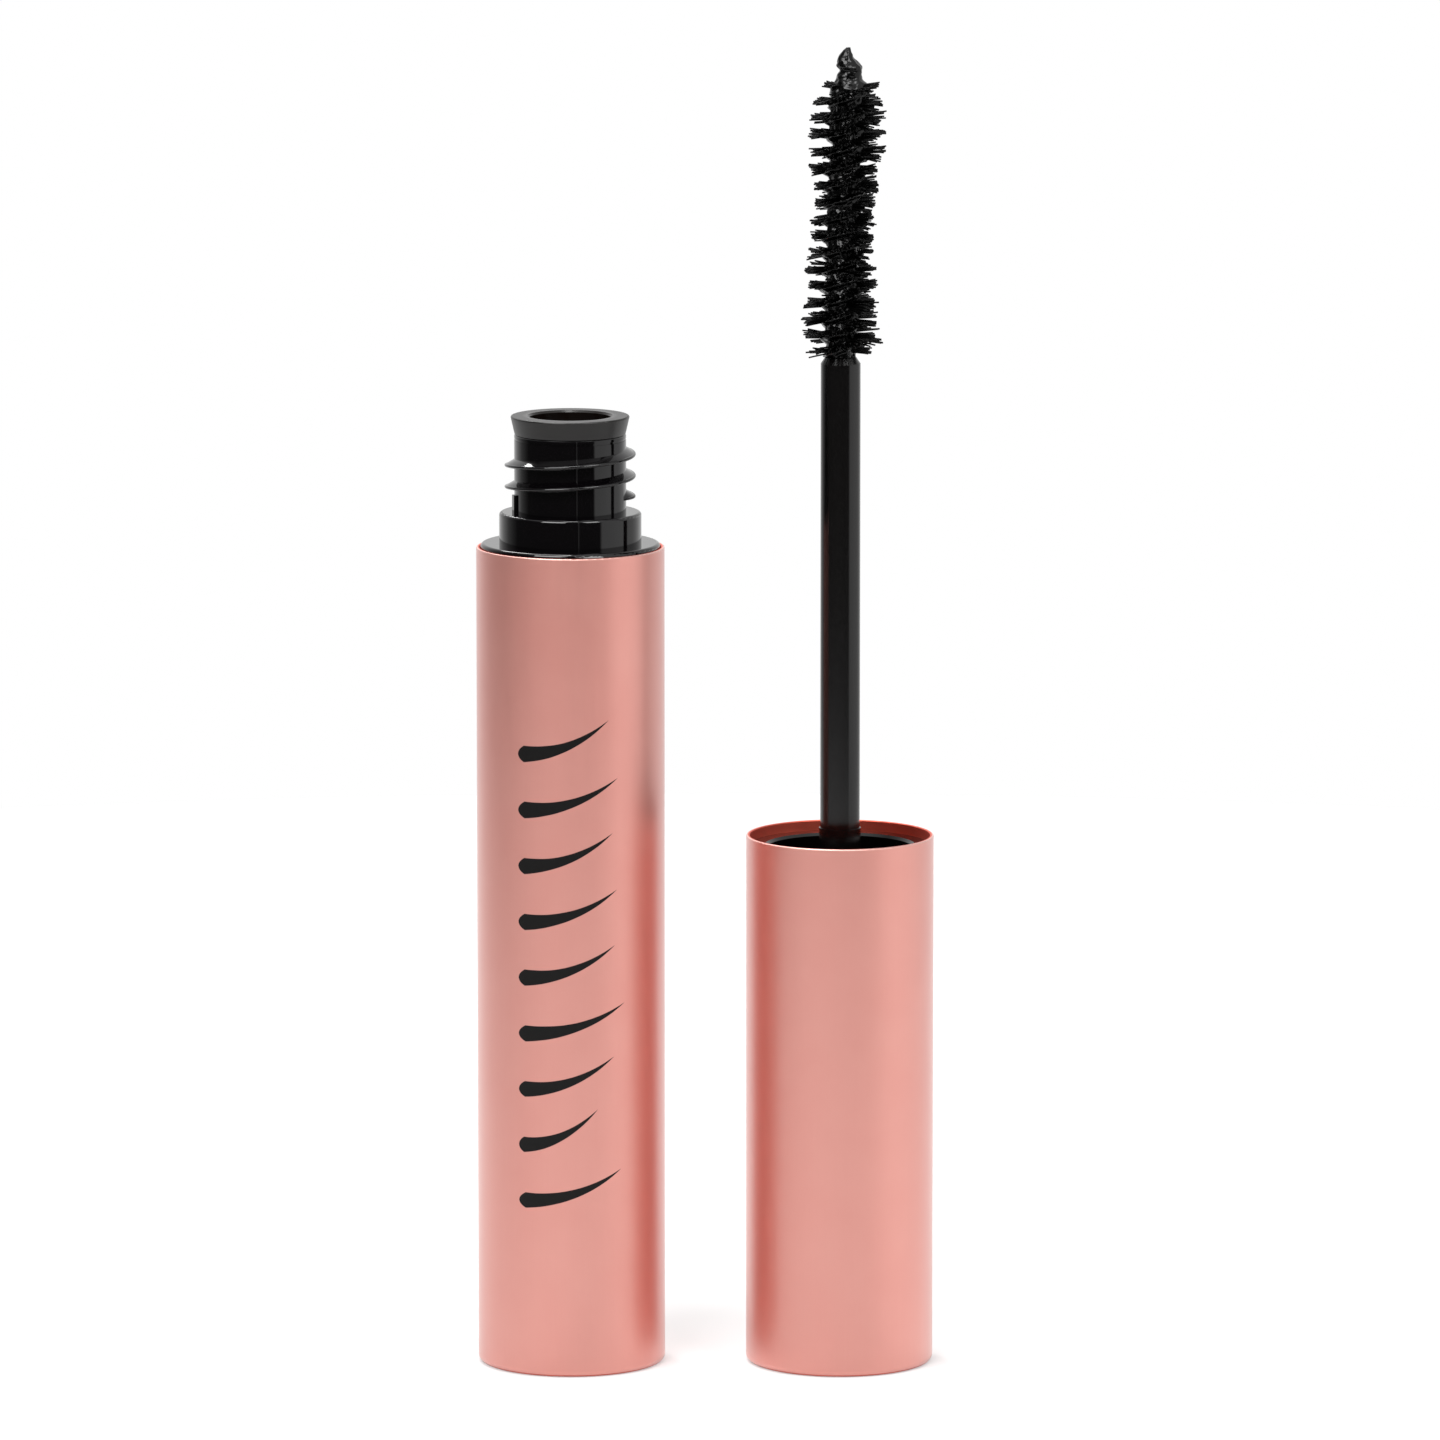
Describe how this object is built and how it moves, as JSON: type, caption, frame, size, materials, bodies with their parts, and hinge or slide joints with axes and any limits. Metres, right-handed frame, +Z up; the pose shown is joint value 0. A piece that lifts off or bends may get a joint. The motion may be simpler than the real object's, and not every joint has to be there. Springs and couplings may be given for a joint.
{
  "type": "mascara tube",
  "caption": "Metal-sleeved mascara tube standing open, its screw cap stood upside-down beside it with the rod and hourglass brush pointing up.",
  "frame": {"origin": "middle of the tube's flat base, on the surface that the tube and its cap stand on", "axes": "+Z up along the tube, +X from the tube towards the cap standing beside it, +Y away from the viewer"},
  "size_m": [0.0438, 0.018, 0.1273],
  "materials": {
    "pink_anodised": "satin anodised, pink gold",
    "black_moulding": "glossy black moulding",
    "wiper_soft": "matt soft plastic, dark grey",
    "washer_foam": "matt closed-cell foam",
    "wire_steel": "bright drawn wire",
    "fibre": "black nylon fibres",
    "mascara": "wet black mascara"
  },
  "bodies": {
    "tube": {"tube_sleeve": "pink_anodised", "bottle": "black_moulding", "wiper": "wiper_soft", "mascara_paste": "mascara"},
    "washer": {"seal_washer": "washer_foam"},
    "wand": {"cap_shell": "pink_anodised", "inner_cap": "black_moulding", "rod": "black_moulding", "brush_wire": "wire_steel", "bristles": "fibre", "brush_paste": "mascara"}
  },
  "joints": [
    {"name": "wand_lift", "type": "slide", "parent": "tube", "child": "washer", "axis": [0, 0, 1], "range_m": [0, 0.0885]},
    {"name": "cap_turn", "type": "hinge", "parent": "washer", "child": "wand", "pos_m": [0.0258, 0, 0], "axis": [0, 0, 1], "continuous": true}
  ]
}
